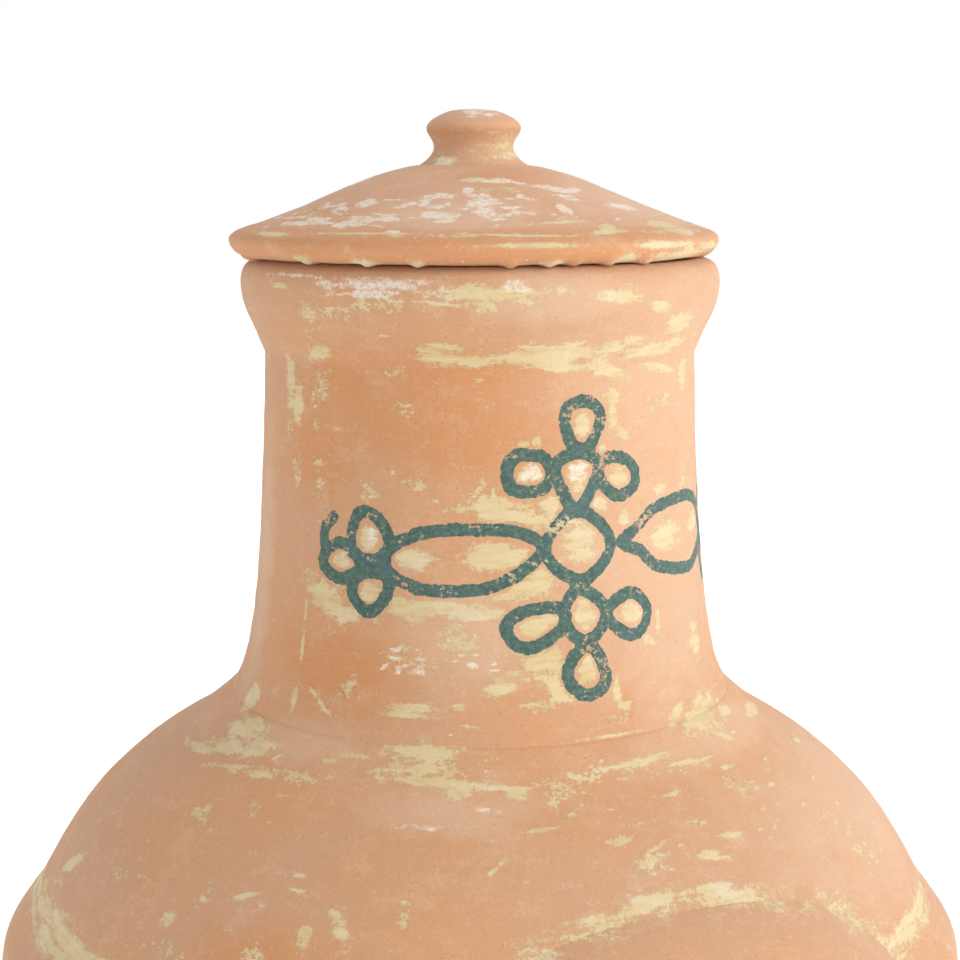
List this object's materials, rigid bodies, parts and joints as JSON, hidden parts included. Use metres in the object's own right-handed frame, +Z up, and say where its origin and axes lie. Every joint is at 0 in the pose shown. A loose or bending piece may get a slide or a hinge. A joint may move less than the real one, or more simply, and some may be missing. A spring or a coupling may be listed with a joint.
{
  "type": "chiminea",
  "caption": "Terracotta garden chiminea with a round belly, arched fire mouth, collared chimney, lift-off knobbed lid, painted loop motif, grate and three-legged iron stand.",
  "frame": {"origin": "on the ground under the chimney's axis", "axes": "+Z up the chimney; the fire mouth and the painted motif face -Y; +X is to the right of someone who faces the mouth"},
  "size_m": [0.524, 0.5201, 0.798],
  "materials": {
    "terracotta": "unglazed fired clay with worn straw-yellow wash and a green brushed motif",
    "lid_clay": "unglazed fired clay with white chalk and straw-yellow smears",
    "sand": "dry loose sand",
    "grate_iron": "black iron, heat-scaled",
    "wrought_iron": "matt black paint over forged bar",
    "fastener": "blackened steel"
  },
  "bodies": {
    "stand": {"stand_hoop": "wrought_iron", "stand_tie_ring": "wrought_iron", "stand_leg_1": "wrought_iron", "stand_leg_2": "wrought_iron", "stand_leg_3": "wrought_iron", "stand_foot_1": "wrought_iron", "stand_foot_2": "wrought_iron", "stand_foot_3": "wrought_iron", "stand_bolt_1": "fastener", "stand_bolt_2": "fastener", "stand_bolt_3": "fastener", "stand_bolt_4": "fastener", "stand_bolt_5": "fastener", "stand_bolt_6": "fastener", "stand_nut_1": "fastener", "stand_nut_2": "fastener", "stand_nut_3": "fastener", "stand_nut_4": "fastener", "stand_nut_5": "fastener", "stand_nut_6": "fastener"},
    "clay_body": {"fire_bowl": "terracotta", "belly_dome": "terracotta", "mouth_lip": "terracotta", "chimney_neck": "terracotta", "sand_bed": "sand"},
    "lid": {"lid_disc": "lid_clay", "lid_knob": "lid_clay", "lid_spigot": "lid_clay"},
    "fire_grate": {"grate_ring": "grate_iron", "grate_bar_1": "grate_iron", "grate_bar_2": "grate_iron", "grate_bar_3": "grate_iron", "grate_bar_4": "grate_iron", "grate_bar_5": "grate_iron", "grate_leg_1": "grate_iron", "grate_leg_2": "grate_iron", "grate_leg_3": "grate_iron"}
  },
  "joints": [
    {"name": "body_lift", "type": "slide", "parent": "stand", "child": "clay_body", "axis": [0, 0, 1], "range_m": [0, 0.15]},
    {"name": "lid_lift", "type": "slide", "parent": "clay_body", "child": "lid", "axis": [0, 0, 1], "range_m": [0, 0.12]},
    {"name": "grate_draw", "type": "slide", "parent": "clay_body", "child": "fire_grate", "axis": [0, -0.98, 0.199], "range_m": [0, 0.36]}
  ]
}
